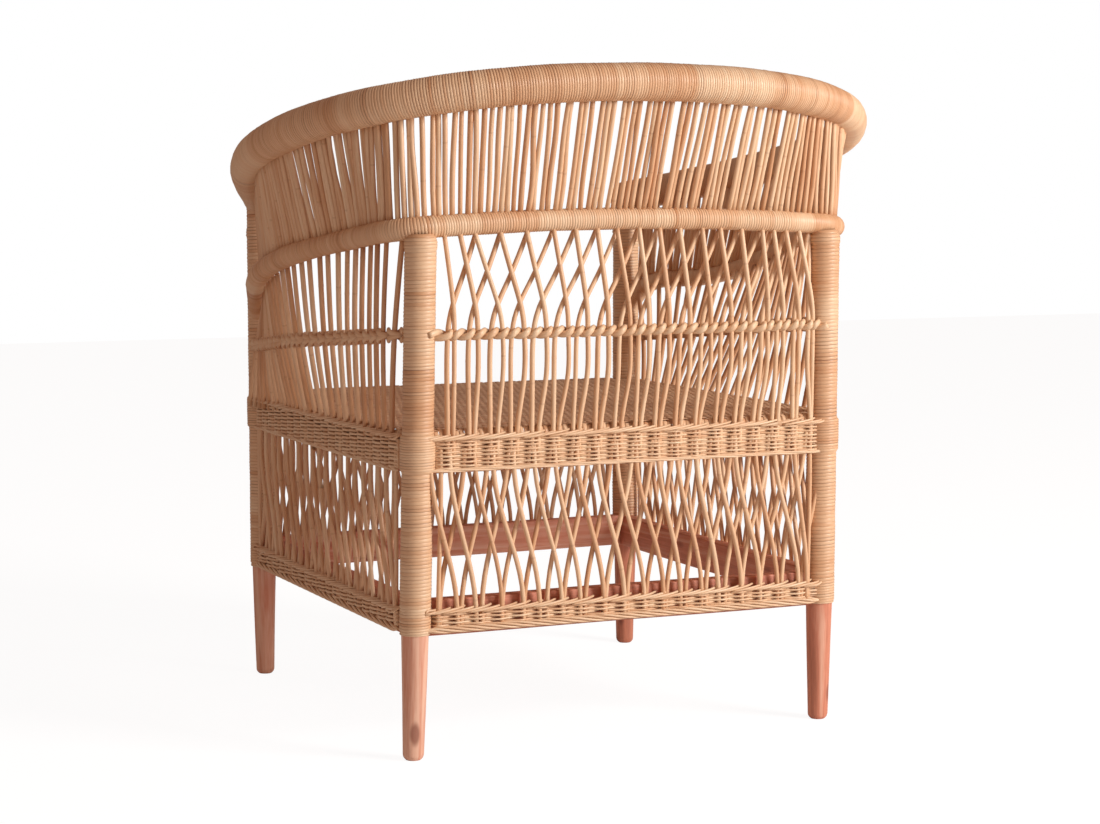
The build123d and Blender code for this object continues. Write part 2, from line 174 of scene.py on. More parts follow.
class Finish:
    """The look of a material or of the surround, made of shader nodes."""

    def __init__(self, owner):
        self.owner = owner
        owner.use_nodes = True
        self.tree = owner.node_tree
        self.tree.nodes.clear()

    def node(self, kind, sockets=None, output=0, **settings):
        """Any node: its settings are set first, then the values or wires of its sockets."""
        made = self.tree.nodes.new(kind)
        for key, value in settings.items():
            if key == "stops":
                ramp = made.color_ramp.elements
                while len(ramp) < len(value):
                    ramp.new(0.5)
                for stop, (place, colour) in zip(ramp, value):
                    stop.position, stop.color = place, (*colour, 1.0)
            else:
                setattr(made, key, value)
        for key, value in (sockets or {}).items():
            if isinstance(value, Wire):
                self.tree.links.new(value.socket, made.inputs[key])
            else:
                made.inputs[key].default_value = value
        return Wire(self, made.outputs[output]) if len(made.outputs) else None

    def mark(self, name):
        """Number that the mesh carries under that name."""
        return self.node("ShaderNodeAttribute", output=2, attribute_name=name)

    def grain(self, wide, long):
        """Place inside the material, times a scale across and along the fibres."""
        place = self.node("ShaderNodeAttribute", output=1, attribute_name="grain")
        return self.node("ShaderNodeVectorMath", {0: place, 1: (wide, wide, long)},
                         operation="MULTIPLY")

    def fibres(self, wide, long, detail=2.0, distortion=0.0):
        """Noise in the material's own grain."""
        return self.node("ShaderNodeTexNoise", {"Vector": self.grain(wide, long), "Scale": 1.0,
                                                "Detail": detail, "Distortion": distortion})

    def tint(self, colour, other, share):
        """Colour that goes over into another by a share."""
        return self.node("ShaderNodeMix", {0: share, 6: colour, 7: other}, output=2,
                         data_type="RGBA")

    def skin(self, colour, roughness, relief, depth, **plain):
        """The surface itself, with a relief of a depth in metres."""
        bump = self.node("ShaderNodeBump", {"Strength": 1.0, "Distance": depth, "Height": relief})
        surface = self.node("ShaderNodeBsdfPrincipled", {
            "Base Color": colour, "Roughness": roughness, "Normal": bump, **plain})
        self.node("ShaderNodeOutputMaterial", {"Surface": surface})
        return self.owner


WOOD_PALE = (0.86, 0.52, 0.37)
WOOD_RED = (0.68, 0.25, 0.15)
WOOD_BROWN = (0.43, 0.145, 0.08)
WOOD_DARK = (0.27, 0.075, 0.042)
WOOD_RELIEF = 0.00025


def oiled_wood(name):
    """Reddish hardwood: broad streaks, fine fibres and a few knots under a thin oil finish."""
    wood = Finish(bpy.data.materials.new(name))
    streaks = wood.fibres(95, 4.5, 3.0, 1.1)
    fine = wood.fibres(1300, 30)
    near = wood.node("ShaderNodeTexVoronoi", {"Vector": wood.grain(26, 11), "Scale": 1.0})
    knots = wood.node("ShaderNodeMapRange", {0: near, 1: 0.09, 2: 0.2, 3: 1.0, 4: 0.0},
                      interpolation_type="SMOOTHSTEP")
    share = streaks * 0.95 + fine * 0.3 + wood.mark("tone") * 0.5 - 0.42
    ramp = wood.node("ShaderNodeValToRGB", {0: share}, stops=(
        (0.1, WOOD_PALE), (0.45, WOOD_RED), (0.82, WOOD_BROWN), (1.0, WOOD_DARK)))
    colour = wood.tint(ramp, (*WOOD_DARK, 1.0), knots * 0.75)
    return wood.skin(colour, 0.42 + fine * 0.2, fine + streaks * 0.6, WOOD_RELIEF)


post_wood = oiled_wood("post_wood")


def post_axis(post, z):
    """Middle of a post at a height, as in "back_left"."""
    where, hand = post.split("_")
    x = POST_X - SPLAY - INWARD * z if where == "back" else POST_X
    return x if hand == "left" else -x, (BACK_Y + LEAN * z if where == "back" else FRONT_Y)


# tones: partly the wood's own, partly painted light; front_left is paler for the floor's bounce
# light
POSTS = {"back_left": 0.0, "back_right": 0.52, "front_left": 0.12, "front_right": 0.86}  # tones
SHAVING = ((2, 0.00022, 9), (3, 0.00016, 17), (5, 0.00010, 31))  # lobes, size, waves per metre
for post, tone in POSTS.items():
    rng = random.Random("post " + post)
    top = POST_TOP[post.split("_")[0]]
    foot_z, foot_r = np.array(FOOT).T
    heights = np.concatenate([foot_z, np.linspace(0.009, BAND_BOTTOM, 44),
                              np.linspace(0.16, top, 20)])
    radii = np.interp(heights, [*foot_z, BAND_BOTTOM, top], [*foot_r, POST_R, POST_R])
    turn = np.arange(POST_SIDES) * 2 * math.pi / POST_SIDES
    shaved = np.zeros((len(heights), POST_SIDES))
    for lobes, size, waves in SHAVING:
        shaved += size * np.sin(lobes * turn[None] + waves * heights[:, None] + rng.uniform(0, 6))
    around_post = radii[:, None] + shaved * (heights > FOOT_BEVEL)[:, None]
    section = around_post[..., None] * ring(1.0, POST_SIDES)
    spine = np.array([(*post_axis(post, z), z) for z in heights])
    bundle = Bundle()
    sweep(bundle, spine, section, tone, rng, up=UPRIGHT)
    bundle.piece("post_" + post, post_wood, "post_wood", post + "_post")

# ---- Stretchers and seat rails ----
# Sawn and planed hardwood boards let into the posts, four low down and four under the seat,
# and one more across the middle of the seat. Their edges are only eased with a plane.

SIDES = {"back": ("back_left", "back_right"), "front": ("front_left", "front_right"),
         "left": ("back_left", "front_left"), "right": ("back_right", "front_right")}
RAIL_FACE = 0.0045  # outer face, outside the line between two post axes
RAIL_THICK = 0.018
STRETCHER_Z = (0.1445, 0.1865)
SEAT_RAIL_Z = (0.333, 0.374)
RAIL_END = 0.008  # how far short of the post axes the boards end
EASED = 0.0016
WARP = 0.0003
rail_wood = oiled_wood("rail_wood")


def reach(side, z):
    """Lowest and highest place along a side between its two post axes."""
    if side in ("back", "front"):
        return -POST_X, POST_X
    return FRONT_Y, BACK_Y + LEAN * z


def on_side(side, along, offset, z):
    """Place on a side: along runs with +X or +Y, offset runs outward from the post axes."""
    if side == "back":
        return np.array([along, BACK_Y + LEAN * z + offset, z])
    if side == "front":
        return np.array([along, FRONT_Y - offset, z])
    return np.array([(POST_X + offset) * (1 if side == "left" else -1), along, z])


def board(bundle, start, finish, tall, thick, rng):
    """Board between two points of its middle line, on edge, eased and slightly warped."""
    half = np.array([tall / 2 - EASED, thick / 2 - EASED])
    corner = [(math.sin(a), math.cos(a)) for a in np.linspace(0, math.pi / 2, 4)]
    quarter = np.array(corner) * EASED + half
    back = quarter[::-1]
    section = np.vstack([quarter, back * (1, -1), quarter * (-1, -1), back * (-1, 1)])
    share = np.linspace(0, 1, 26)[:, None]
    spine = start + (np.asarray(finish) - start) * share
    warp = np.sin(share * math.pi * rng.uniform(1.5, 3.5) + rng.uniform(0, 6)) * WARP
    sweep(bundle, spine + warp * (0, 0, 1), section[::-1], rng.uniform(0.3, 0.7), rng)


for kind, (z0, z1) in (("stretcher", STRETCHER_Z), ("seat_rail", SEAT_RAIL_Z)):
    for side in SIDES:
        rng = random.Random(kind + side)
        middle = (z0 + z1) / 2
        low, high = reach(side, middle)
        depth = RAIL_FACE - RAIL_THICK / 2
        ends = [on_side(side, place, depth, middle) for place in (low + RAIL_END, high - RAIL_END)]
        bundle = Bundle()
        board(bundle, *ends, z1 - z0, RAIL_THICK, rng)
        bundle.piece(f"{kind}_{side}", rail_wood, "rail_wood", f"{side}_{kind}")

CROSS_RAIL_SIZE = (0.024, 0.030)
cross_z = SEAT_RAIL_Z[1] - CROSS_RAIL_SIZE[0] / 2
cross_ends = [on_side(side, 0.0, RAIL_FACE - RAIL_THICK, cross_z) for side in ("front", "back")]
bundle = Bundle()
board(bundle, *cross_ends, *CROSS_RAIL_SIZE, random.Random("cross"))
bundle.piece("cross_rail", rail_wood, "rail_wood", "seat_cross_rail")

# ---- Crossed canes below the seat ----
# Whole thin canes with their skin on. They leave the seat band in pairs, spread apart, cross
# two neighbours on the way down and run between the rows of the lower band. One upright cane
# stands close to each post.

CANE_R = 0.0031
LOW_BAND_TOP = 0.178
SEAT_BAND = (0.335, 0.378)
STAKE_OFFSET = 0.0118  # the middle of the stakes inside the woven bands
PITCH = 0.0265  # from one pair of canes to the next
BACK_PAIRS = (-0.242, 0.234, 19)
PAIR_GAP = 0.0095
PAIR_MARGIN = 0.024  # from a post's wrapping to the first pair
SPREAD = {"outer": 0.0345, "inner": 0.029}  # sideways run of a crossed cane
CANE_ENDS_Z = (0.150, 0.362)  # inside the lower band and the seat band
CROSSING_Z = 0.257
WRAP_R = 0.01845
PALE_CANE = (0.85, 0.62, 0.41)
HONEY_CANE = (0.775, 0.485, 0.285)
AMBER_CANE = (0.64, 0.33, 0.165)
BROWN_CANE = (0.37, 0.155, 0.07)
# painted shade: dark colour for grooves and for strands where they go in behind others
GROOVE_SHADE = (0.20, 0.062, 0.028)
CANE_RELIEF = 0.00018
JOINTS_PER_METRE = 5.3


def varnished_cane(name, joint_share, tone_share, groove_shade_share):
    """Cane skin: streaks along the fibres, blotches, joint rings and a thin varnish, with
    painted shade in grooves and where strands go in behind others.
    """
    cane = Finish(bpy.data.materials.new(name))
    blotches = cane.fibres(70, 14, 2.0, 0.6)
    streaks = cane.fibres(900, 22, 3.0)
    place = cane.grain(1.0, JOINTS_PER_METRE)
    along = cane.node("ShaderNodeSeparateXYZ", {0: place}, output=2)
    cycle = cane.node("ShaderNodeMath", {0: along}, operation="FRACT")
    joints = cane.node("ShaderNodeMath", {0: cycle, 1: 0.5, 2: 0.006}, operation="COMPARE")
    share = cane.mark("tone") * tone_share + blotches * 0.55 + streaks * 0.35 - 0.32
    ramp = cane.node("ShaderNodeValToRGB", {0: share}, stops=(
        (0.0, PALE_CANE), (0.35, HONEY_CANE), (0.68, AMBER_CANE), (1.0, BROWN_CANE)))
    ringed = cane.tint(ramp, (*BROWN_CANE, 1.0), joints * joint_share)
    # painted shade from the mesh's third mark, in grooves and where strands go behind
    groove_shaded = cane.tint(ringed, (*GROOVE_SHADE, 1.0), cane.mark("seam") ** 2.0 * groove_shade_share)
    return cane.skin(groove_shaded, 0.36 + streaks * 0.22, streaks + blotches * 0.5, CANE_RELIEF,
                     **{"Coat Weight": 0.12, "Coat Roughness": 0.3})


round_cane = varnished_cane("round_cane", 0.22, 0.85, 0.0)


def through(places, count, leaving=None, arriving=None):
    """Smooth line through a few places, leaving and arriving in given directions."""
    places = np.asarray(places, float)
    spans = np.linalg.norm(np.diff(places, axis=0), axis=1)
    last = len(places) - 1
    rows, sums = np.zeros((last + 1, last + 1)), np.zeros((last + 1, 3))
    for i in range(1, last):
        rows[i, i - 1], rows[i, i + 1] = spans[i], spans[i - 1]
        rows[i, i] = 2 * (spans[i - 1] + spans[i])
        before = (places[i] - places[i - 1]) / spans[i - 1]
        after = (places[i + 1] - places[i]) / spans[i]
        sums[i] = 3 * (spans[i] * before + spans[i - 1] * after)
    for i, near, way in ((0, 1, leaving), (last, last - 1, arriving)):
        rows[i, i] = 1.0
        if way is None:
            rows[i, i], rows[i, near] = 2.0, 1.0
            sums[i] = 3 * (places[max(i, near)] - places[min(i, near)]) / spans[min(i, near)]
        else:
            sums[i] = way
    slopes = np.linalg.solve(rows, sums)
    marks = np.concatenate([[0.0], np.cumsum(spans)])
    at = np.linspace(0, marks[-1], count)
    i = np.clip(np.searchsorted(marks, at, side="right") - 1, 0, last - 1)
    span = spans[i][:, None]
    t = (at - marks[i])[:, None] / span
    return ((1 + 2 * t) * (1 - t) ** 2 * places[i] + t * (1 - t) ** 2 * span * slopes[i]
            + t * t * (3 - 2 * t) * places[i + 1] + t * t * (t - 1) * span * slopes[i + 1])


def read_line(line, marks, at):
    """Places, or directions, along a line that has a mark at each of its points."""
    return np.stack([np.interp(at, marks, line[:, axis]) for axis in range(3)], axis=-1)


CANE_SIDES = 10
JOINT_SWELLING = ((-0.0024, 1.0), (-0.0007, 1.045), (0.0007, 1.035), (0.0024, 1.0))


def cane(bundle, line, radius, tone, rng, step=0.014):
    """Upright cane along a dense line, with one or two swollen joint rings."""
    measured = lengths(line)
    whole = measured[-1]
    stations = list(np.linspace(0, whole, max(3, int(whole / step))))
    swell_at, swell = [0.0], [1.0]
    place = rng.uniform(0.02, 0.19)
    while place < whole - 0.004:
        for shift, size in JOINT_SWELLING:
            stations.append(place + shift)
            swell_at.append(place + shift)
            swell.append(size)
        place += rng.uniform(0.13, 0.22)
    stations = np.array(sorted(s for s in stations if 0 <= s <= whole))
    spine = read_line(line, measured, stations)
    radii = radius * np.interp(stations, swell_at + [whole + 1], swell + [1.0])
    sweep(bundle, spine, ring(radii, CANE_SIDES), tone, rng, UPRIGHT)


def wander(line, rng, size):
    """Slight natural bow of a grown cane, nothing at its ends."""
    share = np.linspace(0, 1, len(line))[:, None]
    ways = np.array([[rng.gauss(0, size), rng.gauss(0, size), 0.0] for _ in range(2)])
    return line + np.sin(math.pi * share) * ways[0] + np.sin(2 * math.pi * share) * ways[1] * 0.6


def pair_middles(side):
    """Places along a side where the pairs of canes pass the seat band."""
    if side == "back":
        return np.linspace(*BACK_PAIRS)
    low, high = reach(side, SEAT_BAND[0])
    room = high - low - 2 * (WRAP_R + PAIR_MARGIN)
    count = int(room / PITCH) + 1
    return (low + high) / 2 + (np.arange(count) - (count - 1) / 2) * PITCH


def rightward(side):
    """Sign of the way along a side that runs to the right as seen from outside the chair."""
    return 1 if side in ("front", "left") else -1


LAYER_APART = 0.0028  # how far a layer stands out of the stakes' middle where canes cross
BESIDE_CANE = 0.0085  # what the back's feet leave free for the cane beside the post
for side in SIDES:
    for layer, slant in (("outer", 1), ("inner", -1)):
        rng = random.Random(side + layer)
        right = rightward(side) * slant
        bundle = Bundle()
        low, high = reach(side, LOW_BAND_TOP)
        inside = WRAP_R + CANE_R
        middles = list(pair_middles(side))
        edge = middles[0] - PITCH if right > 0 else middles[-1] + PITCH
        for middle in middles + [edge]:
            head = middle + right * PAIR_GAP / 2 + rng.gauss(0, 0.0012)
            foot = head + right * (SPREAD[layer] + rng.gauss(0, 0.0018))
            if not low + inside - 0.012 < foot < high - inside + 0.012:
                continue
            room = inside + (BESIDE_CANE if side == "back" else 0)
            foot = min(max(foot, low + room), high - room)
            shift = LAYER_APART * slant
            places = [
                on_side(side, foot + right * 0.001, STAKE_OFFSET, CANE_ENDS_Z[0]),
                on_side(side, foot, STAKE_OFFSET + shift * 0.6, LOW_BAND_TOP + 0.004),
                on_side(side, (foot + head) / 2, STAKE_OFFSET + shift * 1.15, CROSSING_Z),
                on_side(side, head, STAKE_OFFSET + shift * 0.5, SEAT_BAND[0] - 0.004),
                on_side(side, head - right * 0.0012, STAKE_OFFSET, CANE_ENDS_Z[1])]
            line = wander(through(places, 80), rng, 0.0007)
            cane(bundle, line, CANE_R * rng.uniform(0.86, 0.99), rng.uniform(0.08, 0.55), rng)
        beside = high - inside - 0.0012 if right > 0 else low + inside + 0.0012
        top_shift = LEAN * 0.16 if right > 0 and side in ("left", "right") else 0.0
        if side == "back":  # where the posts lean toward each other
            top_shift = -0.0022 if right > 0 else 0.0022
            beside -= 0.0042 if right > 0 else -0.0042
        places = [on_side(side, beside, STAKE_OFFSET, CANE_ENDS_Z[0]),
                  on_side(side, beside + top_shift * 0.5, STAKE_OFFSET, 0.25),
                  on_side(side, beside + top_shift, STAKE_OFFSET, CANE_ENDS_Z[1])]
        line = wander(through(places, 60), rng, 0.0006)
        cane(bundle, line, CANE_R * 0.85, rng.uniform(0.1, 0.45), rng)
        bundle.piece(f"lower_canes_{side}_{layer}", round_cane, "round_cane",
                     f"{side}_lower_canes_{layer}")

# ---- Woven bands ----
# Thin cane woven in and out of the pairs of stakes, one row after another. Slanted strands
# close the top edge, and a loose twist of strands finishes the bottom edge.

STRAND_R = 0.00138
ROW = 0.00226  # from one woven row to the next
WEAVE_OUT = 0.0038  # how far a strand goes before and behind the stakes
BAND_OFFSET = 0.0124
BAND_END = 0.0125  # how far short of the post axes the rows end
TUCK = 0.011  # how far the back's rows go in behind the left post's collar
STRAND_SIDES = 7
woven_cane = varnished_cane("woven_cane", 0.0, 0.75, 0.85)


def woven_rows(bundle, side, middles, z0, z1, rng):
    """Rows that pass before one pair of stakes and behind the next."""
    low, high = reach(side, (z0 + z1) / 2)
    start, finish = low + BAND_END, high - BAND_END
    count = round((z1 - z0) / ROW)
    along = np.linspace(start, finish, int((finish - start) / 0.0031))
    beat = (along - middles[0]) / PITCH
    steepness, swell = (1.7, -0.12) if side == "back" else (0.8, 0.2)
    for row in range(count):
        wave = np.cos(math.pi * (beat + row))
        wave = np.sign(wave) * np.abs(wave) ** steepness
        out = WEAVE_OUT * wave
        crowd = np.minimum(1.0, np.minimum(along - start, finish - along) / 0.02)
        tucked = np.clip((along - finish + 0.013) / 0.005, 0, 1) if side == "back" else 0 * along
        lift = 0.0003 * np.sin(beat * 1.7 + row * 2.1) + rng.gauss(0, 0.00012)
        z = z0 + (row + 0.5) * (z1 - z0) / count + lift
        spine = np.array([on_side(side, a, BAND_OFFSET - TUCK * t + o * c, h)
                          for a, t, o, c, h in zip(along, tucked, out, crowd, z)])
        section = ring(np.full(len(along), STRAND_R), STRAND_SIDES)
        section[..., 0] *= (1.0 + swell * np.abs(wave))[:, None]
        tone = np.clip(0.13 + 0.12 * np.sin(beat * 0.21 + row * 1.3) + rng.gauss(0, 0.07), 0, 1)
        # painted shade on a strand where it passes behind a pair of stakes
        shade_behind = np.clip(-0.75 * wave, 0, 1)
        sweep(bundle, spine, section, np.repeat(tone, STRAND_SIDES), rng,
              seam=np.repeat(shade_behind, STRAND_SIDES))


EDGE_LENGTH = 0.047  # of one closing strand
EDGE_RISE = 0.0058
EDGE_SHORTEST = 0.012
EDGE_BOW = np.array(((0.0, 0.0150), (0.15, 0.0176), (0.45, 0.0176), (0.8, 0.0145), (1.0, 0.0085)))


def slanted_edge(bundle, side, z, rng):
    """Closing strands on a band's top edge, each rising to the right behind the next."""
    low, high = reach(side, z)
    right = rightward(side)
    share, out = EDGE_BOW.T
    for start in np.arange(low - 0.012, high - 0.012, PITCH * 0.62):
        first, last = (start, start + EDGE_LENGTH) if right > 0 else (start + EDGE_LENGTH, start)
        along = np.clip(first + (last - first) * share, low + 0.010, high - 0.010)
        up = EDGE_RISE * share + rng.gauss(0, 0.0004)
        if abs(along[-1] - along[0]) < EDGE_SHORTEST:
            continue
        line = through([on_side(side, a, o, z + h) for a, o, h in zip(along, out, up)], 16)
        section = ring(np.full(16, STRAND_R * rng.uniform(1.0, 1.15)), STRAND_SIDES)
        sweep(bundle, line, section, rng.uniform(0.0, 0.28), rng)


def rope(bundle, side, z, offset, strands, radius, spread, lay, rng):
    """Twisted strands along a band's lower edge; lay is the length of one turn."""
    low, high = reach(side, z)
    along = np.linspace(low + 0.0105, high - 0.0105, int((high - low) / 0.0035))
    for strand in range(strands):
        turn = 2 * math.pi * ((along - low) / lay + strand / strands) * -rightward(side)
        close = spread * np.minimum(1.0, np.minimum(along - along[0], along[-1] - along) / 0.015)
        spine = np.array([on_side(side, a, offset + c * math.cos(t), z + c * math.sin(t))
                          for a, t, c in zip(along, turn, close)])
        sweep(bundle, spine, ring(np.full(len(along), radius), 8), rng.uniform(0.0, 0.28), rng)


for side in SIDES:
    rng = random.Random("seat band " + side)
    middles = pair_middles(side)
    bundle = Bundle()
    woven_rows(bundle, side, middles, SEAT_BAND[0] + 0.0035, SEAT_BAND[1] - 0.005, rng)
    slanted_edge(bundle, side, SEAT_BAND[1] - 0.0062, rng)
    rope(bundle, side, SEAT_BAND[0] + 0.0021, 0.0150, 3, 0.0013, 0.0012, 0.120, rng)
    bundle.piece("seat_band_" + side, woven_cane, "woven_cane", side + "_seat_band")

    rng = random.Random("lower band " + side)
    feet = middles + PITCH / 2
    bundle = Bundle()
    woven_rows(bundle, side, feet, BAND_BOTTOM + 0.009, LOW_BAND_TOP - 0.005, rng)
    slanted_edge(bundle, side, LOW_BAND_TOP - 0.0065, rng)
    rope(bundle, side, BAND_BOTTOM + 0.0048, 0.0138, 5, 0.0015, 0.0031, 0.110, rng)
    bundle.piece("lower_band_" + side, woven_cane, "woven_cane", side + "_lower_band")

# ---- Wrapping round the posts ----
# One split cane after another, wound close and tight from the lower band up to the rails. The
# winding stands out in a collar where the seat band's ends go round the post, and it closes
# over the heads of the back posts.

WRAP_TURN = 0.0043
COLLAR_TURN = 0.0033
COLLAR = 0.0023
STRIP_CROWN = 0.00062  # how far a strip's middle stands above its edges
wrapping_cane = varnished_cane("wrapping_cane", 0.0, 0.8, 1.0)
# last column: painted shade, full in the grooves at a strip's edges
STRIP = ((0.0, 0.0, 1.0), (0.12, 0.6, 0.3), (0.5, 1.0, 0.0), (0.88, 0.6, 0.3), (1.0, 0.0, 1.0))
CLOSING = 0.011  # length over which the winding closes over a back post's head
LIP_Z = (0.589, 0.602)  # a slightly thicker stretch just under the middle rail


def turns_along(whole, pitch, rng):
    """Start of each turn along a core, from a pitch that may change along it."""
    starts = [0.0]
    while starts[-1] < whole:
        starts.append(starts[-1] + pitch(starts[-1]) * rng.gauss(1, 0.07))
    return np.array(starts) * whole / starts[-1]


def winding(bundle, spine, core, pitch, rng, up, steps, tones, calm=()):
    """Split cane wound round a core: core(length) gives the radius under the strip's edges.

    STRIP holds a share of the strip's width, its height and the painted shade of its groove at
    each of five lines. calm holds (from, to) stretches where the turns lie flush and the painted
    shade in their grooves hardly shows.
    """
    measured = lengths(spine)
    rise, side = across(spine, up)
    starts = turns_along(measured[-1], pitch, rng)
    turns = len(starts) - 2
    count = turns * steps + 1
    k = np.arange(count) / steps
    low = np.interp(k, np.arange(len(starts)), starts)
    high = np.interp(k + 1, np.arange(len(starts)), starts)
    each = np.arange(turns + 1)
    bulge = np.interp(k, each, [rng.gauss(1, 0.14) for _ in each])
    strips = []
    while len(strips) < len(each):
        tone = rng.uniform(*tones)
        strips += [tone] * rng.randint(8, 34)
    own = [rng.gauss(0, 0.06) + (0.35 if rng.random() < 0.035 else 0.0) for _ in each]
    # how much painted shade each turn's grooves get, a few turns much darker
    depth = [1.25 if rng.random() < 0.07 else rng.gauss(0.72, 0.17) for _ in each]
    depth = np.interp(k, each, np.clip(depth, 0.3, 1.25))
    for first, last in calm:
        flush = np.clip(np.minimum(low - first, last - low) / 0.02, 0, 1)
        depth, bulge = depth * (1 - 0.8 * flush), bulge * (1 - 0.7 * flush)
    tone = np.clip(np.interp(k, each, np.array(strips[:len(each)]) + own), 0, 1)
    angle = 2 * math.pi * k[:, None]
    columns, painted_shades = [], []
    for share, crown, seam in STRIP:
        at = low + (high - low) * share
        radius = core(at) + STRIP_CROWN * crown * bulge
        outward = (np.cos(angle) * read_line(rise, measured, at)
                   + np.sin(angle) * read_line(side, measured, at))
        columns.append(read_line(spine, measured, at) + radius[:, None] * outward)
        painted_shades.append(np.clip(seam * depth ** (1.0 if seam == 1.0 else 3.0), 0, 1))
    points = np.stack(columns, axis=1)
    wide = len(STRIP)
    round_core = angle * float(np.mean(core(low)))
    width = np.array([share for share, _, _ in STRIP]) * (high - low)[:, None]
    grain = np.stack([width, np.zeros_like(width), np.repeat(round_core, wide, 1)], axis=2)
    grain += np.array([rng.uniform(-9, 9) for _ in range(3)])
    i, j = np.meshgrid(np.arange(count - 1), np.arange(wide - 1), indexing="ij")
    corner = i * wide + j
    faces = np.stack([corner, corner + wide, corner + wide + 1, corner + 1], -1)
    bundle.add(points.reshape(-1, 3), faces.reshape(-1, 4), grain.reshape(-1, 3),
               np.repeat(tone, wide), np.stack(painted_shades, axis=1).reshape(-1))


def hoop(bundle, middle, first, second, radius, thick, count, tone, rng, up):
    """Closed ring of cane round a middle, in the plane of two directions."""
    turn = np.linspace(0, 2 * math.pi, count)[:, None]
    line = middle + radius * (np.cos(turn) * first + np.sin(turn) * second)
    sweep(bundle, line, ring(np.full(count, thick), 8), tone, rng, up)


for post in POSTS:
    rng = random.Random("wrap " + post)
    is_back = "back" in post
    top = POST_TOP["back"] + 0.010 if is_back else POST_TOP["front"] + 0.002
    heights = np.linspace(BAND_BOTTOM + 0.0012, top, 180)
    spine = np.array([(*post_axis(post, z), z) for z in heights])

    def wrap_core(at):
        z = at + heights[0]
        closed = np.clip((z - top + CLOSING) / CLOSING, 0, 1) if is_back else 0.0
        collar = np.clip(np.minimum(z - SEAT_BAND[0], SEAT_BAND[1] - z) / 0.003, 0, 1)
        lip = np.clip((z - LIP_Z[0]) / 0.002, 0, 1) * np.clip((LIP_Z[1] - z) / 0.004, 0, 1)
        radius = WRAP_R - STRIP_CROWN + COLLAR * collar + 0.0009 * lip + 0.00012 * np.sin(z * 90)
        return radius * np.sqrt(1 - 0.8 * closed ** 2)

    def wrap_pitch(at):
        z = at + heights[0]
        return COLLAR_TURN if SEAT_BAND[0] < z < SEAT_BAND[1] or z < LOW_BAND_TOP else WRAP_TURN

    bundle = Bundle()
    winding(bundle, spine, wrap_core, wrap_pitch, rng, UPRIGHT, 24, (0.08, 0.5))
    end = np.array([*post_axis(post, BAND_BOTTOM), BAND_BOTTOM + 0.0006])
    east, north, upward = np.eye(3)
    hoop(bundle, end, east, north, 0.0168, 0.0012, 49, 0.05, rng, upward)
    bundle.piece("wrap_" + post, wrapping_cane, "wrapping_cane", post + "_post_wrap")

# ---- Woven seat ----
# Flat split cane woven over the seat rails in a twill: each strip goes over two and under two,
# one step further along in each row, which draws the seat's slanted lines. The strips' ends turn
# down over the rails, behind the bands.

STRIP_WIDE = 0.0062
SEAT_TOP = 0.3842
SEAT_EDGE = 0.0070
TWILL = 0.0011  # how far a strip rises and dips
STRIP_THICK = 0.0006
END_DIP = 0.0012
END_BEND = ((0.0022, 0.0040), (0.0052, 0.014))  # outward and down, for two points past the end


def twill_strip(bundle, start, finish, phase, rng):
    """One flat strip of the seat, rising over two crossings and dipping under the next two."""
    run = np.subtract(finish, start)
    whole = np.linalg.norm(run)
    crossings = int(round(whole / STRIP_WIDE))
    at = np.arange(crossings * 2 + 1) / 2.0
    place = (at + phase) % 4
    height = TWILL * np.interp(place, [0, 0.5, 1.5, 2.0, 2.5, 3.5, 4.0], [0, 1, 1, 0, -1, -1, 0])
    spine = start + run * (at / crossings)[:, None] + height[:, None] * (0, 0, 1)
    outward = run / whole
    spine[[0, -1]] -= (0, 0, END_DIP)
    (near, low), (far, lowest) = END_BEND
    spine = np.vstack([
        spine[0] - outward * far - (0, 0, lowest), spine[0] - outward * near - (0, 0, low), spine,
        spine[-1] + outward * near - (0, 0, low), spine[-1] + outward * far - (0, 0, lowest)])
    wide, edge = STRIP_WIDE * rng.uniform(0.44, 0.485), STRIP_THICK * 0.6
    section = np.array([(STRIP_THICK, 0), (edge, wide), (-edge, wide),
                        (-STRIP_THICK, 0), (-edge, -wide), (edge, -wide)])
    sweep(bundle, spine, section, np.clip(rng.gauss(0.36, 0.13), 0, 1), rng)


bundle = Bundle()
rng = random.Random("seat")
seat_z = SEAT_TOP - TWILL - STRIP_THICK
front = FRONT_Y - SEAT_EDGE
rear = BACK_Y + LEAN * seat_z + SEAT_EDGE
side_x = POST_X + SEAT_EDGE
notch = 0.0215  # clear of the collars round the posts
for index, y in enumerate(np.arange(front + 0.003, rear, STRIP_WIDE)):
    near_post = min(y - FRONT_Y, rear - SEAT_EDGE - y) < notch
    end = POST_X - notch if near_post else side_x
    shift = (side_x - end) / STRIP_WIDE
    twill_strip(bundle, (-end, y, seat_z), (end, y, seat_z), index + shift, rng)
for index, x in enumerate(np.arange(-side_x + 0.003, side_x, STRIP_WIDE)):
    near_post = POST_X - abs(x) < notch
    y0, y1 = (FRONT_Y + notch, rear - SEAT_EDGE - notch) if near_post else (front, rear)
    shift = (y0 - front) / STRIP_WIDE
    twill_strip(bundle, (x, y0, seat_z), (x, y1, seat_z), index + shift + 2, rng)
bundle.piece("seat", woven_cane, "woven_cane", "woven_seat")

# ---- Lines of the two rails ----
# Both rails are bundles of canes bent into a horseshoe. The middle rail runs over the back
# posts and down the arms to the front posts; the top roll leans out all round above it.

